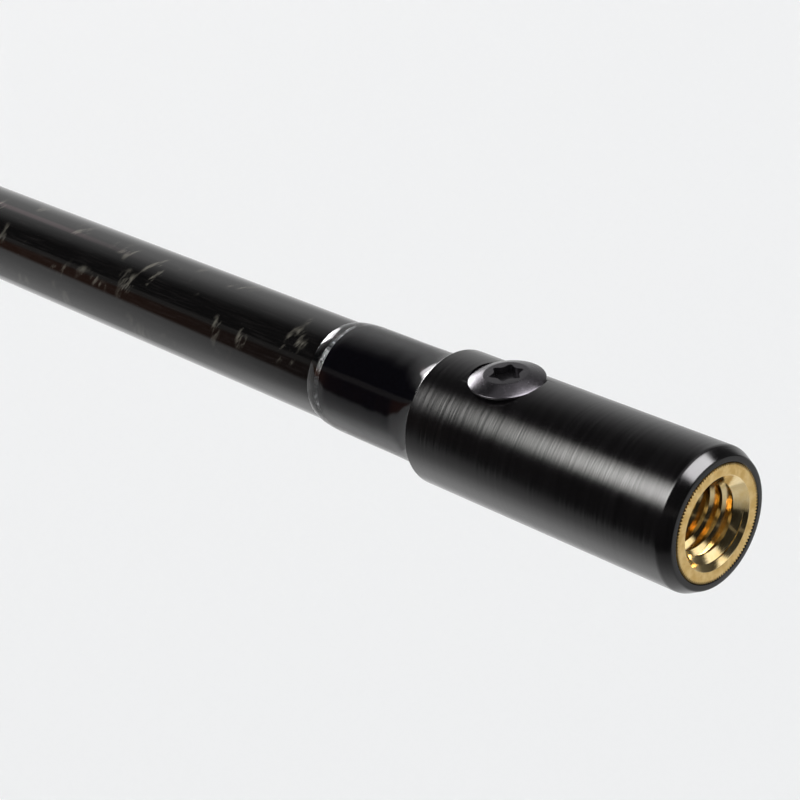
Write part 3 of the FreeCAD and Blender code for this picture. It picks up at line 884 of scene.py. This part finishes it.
# CAD nodes whose own shape stays
keptNodes = {"tip_plug": plainAluminium, "end_plug": anodised, "end_seal": rubber}
for section in ["tip", "fourth", "third", "second"]:
    keptNodes[section + "_guide"] = acetal
for section in collarSections:
    keptNodes[section + "_collet"] = acetal
for name, material in keptNodes.items():
    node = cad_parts[name]
    node.data.materials.clear()
    node.data.materials.append(material)


cameraSetup = {"azimuth": 49.89, "elevation": 28.9, "roll": 7.59, "distance": 237.8,
               "aim": (-46.4, -0.36, -0.45), "lens": 92.14}


def placeCamera():
    setup = cameraSetup
    azimuth = math.radians(setup["azimuth"])
    elevation = math.radians(setup["elevation"])
    back = Vector((math.sin(azimuth) * math.cos(elevation),
                   -math.cos(azimuth) * math.cos(elevation), math.sin(elevation)))
    data = bpy.data.cameras.new("viewCamera")
    data.lens = setup["lens"]
    data.sensor_width = 36
    data.clip_start = 0.01
    data.clip_end = 50
    camera = bpy.data.objects.new("viewCamera", data)
    bpy.context.scene.collection.objects.link(camera)
    aim = Vector([value * mm for value in setup["aim"]])
    camera.location = aim + back * setup["distance"] * mm
    roll = Quaternion((0, 0, 1), math.radians(-setup["roll"]))
    camera.rotation_mode = "QUATERNION"
    camera.rotation_quaternion = (-back).to_track_quat("-Z", "Y") @ roll
    bpy.context.scene.camera = camera


# lamps are soft patches of sky: where each starts, is full, starts to fade and ends
studio = {"floorHeight": -0.45, "floorSize": 60.0, "worldPale": (0.985, 0.985, 0.985),
          "dark": (0.012, 0.012, 0.012), "lineLevel": 0.14, "lineColour": (1.0, 0.95, 0.9),
          "brownLevel": 0.13, "brownColour": (1.0, 0.38, 0.18),
          "back": [(-90, 0.9), (-30, 0.85), (8, 0.66), (28, 0.76), (43, 0.66), (56, 0.44),
                   (69, 0.26), (80, 0.08), (90, 0.016), (270, 0.012)],
          "nearTable": [(180, 0.30), (200, 0.34), (212, 0.46), (223, 0.64), (236, 1.02),
                        (252, 1.2), (270, 1.0)],
          "farTable": [(180, 0.55), (210, 0.68), (236, 0.70), (252, 0.64), (270, 0.57)],
          "lamps": [
              {"x": (-0.665, -0.55, -0.2, 0.0), "around": (104, 129, 131, 153),
               "level": 14.0, "colour": (1.0, 0.99, 0.97)},
              {"x": (-0.02, 0.08, 0.42, 0.52), "around": (44, 54, 88, 100),
               "level": 14.0, "colour": (1.0, 0.98, 1.0)},
              {"x": (-0.46, -0.40, -0.05, 0.05), "around": (40, 60, 90, 110),
               "level": 0.7, "colour": (1.0, 0.98, 1.0)},
              {"x": (-0.96, -0.90, -0.86, -0.825), "around": (5, 20, 66, 78),
               "level": 7.0, "colour": (1.0, 0.97, 1.0)},
              {"x": (-1.1, -1.05, -0.905, -0.885), "around": (22, 30, 60, 68),
               "level": 18.0, "colour": (1.0, 1.0, 1.0)},
              {"x": (0.55, 0.65, 0.9, 1.0), "around": (8, 22, 52, 66),
               "level": 1.3, "colour": (1.0, 0.98, 0.95)},
              {"x": (-0.97, -0.86, -0.80, -0.76), "around": (54, 62, 67, 75),
               "level": 0.4, "colour": (1.0, 0.66, 0.72)}]}


def makeFloor():
    deselectAll()
    bpy.ops.mesh.primitive_plane_add(size=studio["floorSize"],
                                     location=(0, 0, studio["floorHeight"]))
    floor = bpy.context.object
    floor.name = "studioFloor"
    material, bench = newMaterial("paleFloor")
    place = bench.node("ShaderNodeTexCoord", output="Object")
    tint = bench.mixColour(bench.noise(place, 0.6, 1.0), (0.86, 0.87, 0.88), (0.90, 0.905, 0.91))
    bench.surface(Base_Color=tint, Roughness=0.9, Specular_IOR_Level=0.1)
    floor.data.materials.append(material)
    floor.visible_glossy = False


def makeWorld():
    # pale all round; glossy surfaces see a studio of softboxes, a dark room and a bright table
    world = bpy.data.worlds.new("studioWorld")
    bpy.context.scene.world = world
    bench = Bench(world)
    direction = bench.node("ShaderNodeTexCoord", output="Generated")
    x = bench.node("ShaderNodeSeparateXYZ", {}, {0: direction}, "X")
    y = bench.node("ShaderNodeSeparateXYZ", {}, {0: direction}, "Y")
    z = bench.node("ShaderNodeSeparateXYZ", {}, {0: direction}, "Z")
    # degrees round the pole: 0 is level behind it, 90 overhead, 180 level in front, 270 below
    around = bench.node("ShaderNodeMath", {"operation": "ARCTAN2"}, {0: y * -1, 1: z})
    around = around * (180 / math.pi) + 90
    share = (around + 90) / 360
    lean = bench.node("ShaderNodeClamp", {}, {0: x, 1: -0.82, 2: -0.55})
    back = bench.levels(share + (lean + 0.67) * (190 / 360), studio["back"])
    shade = bench.step(x, -0.3, -0.05) * bench.step(around, -25, 5) * 0.9
    back = bench.mixColour(shade, back, studio["dark"])
    back = bench.mixColour(bench.step(x, 0.3, 0.55) * 0.25, back, studio["dark"])
    line = bench.step(around, 141, 147) * (1 - bench.step(around, 152, 158))
    line = line * studio["lineLevel"]
    brown = bench.step(around, 150, 160) * (1 - bench.step(around, 200, 205))
    brown = brown * studio["brownLevel"] * (1 - bench.step(x, -0.79, -0.66))
    nearTable = bench.levels(share, studio["nearTable"])
    farTable = bench.levels(share, studio["farTable"])
    table = bench.mixColour(bench.step(x, -0.76, -0.69), farTable, nearTable)
    tilt = bench.node("ShaderNodeClamp", {}, {0: x, 1: -0.95, 2: -0.55})
    tableEdge = bench.step(around - (tilt + 0.69) * 130, 187, 197)
    tableLight = tableEdge * (1 - 0.5 * bench.step(x, -0.3, 0.3))
    colour = bench.addColour(back, line, studio["lineColour"])
    colour = bench.addColour(colour, brown, studio["brownColour"])
    colour = bench.mixColour(tableLight, colour, table)
    for lamp in studio["lamps"]:
        fromX, fullX, lessX, toX = lamp["x"]
        fromAngle, fullAngle, lessAngle, toAngle = lamp["around"]
        mask = bench.step(x, fromX, fullX) * (1 - bench.step(x, lessX, toX))
        mask = mask * bench.step(around, fromAngle, fullAngle)
        mask = mask * (1 - bench.step(around, lessAngle, toAngle))
        colour = bench.addColour(colour, mask * lamp["level"], lamp["colour"])
    glossy = bench.node("ShaderNodeLightPath", output="Is Glossy Ray")
    colour = bench.mixColour(glossy, studio["worldPale"], colour)
    shine = bench.node("ShaderNodeBackground", {}, {0: colour, 1: 1.0})
    bench.node("ShaderNodeOutputWorld", {}, {"Surface": shine})


placeCamera()
makeFloor()
makeWorld()
bpy.context.scene.view_settings.view_transform = "Standard"
print("camera, floor and light ready")
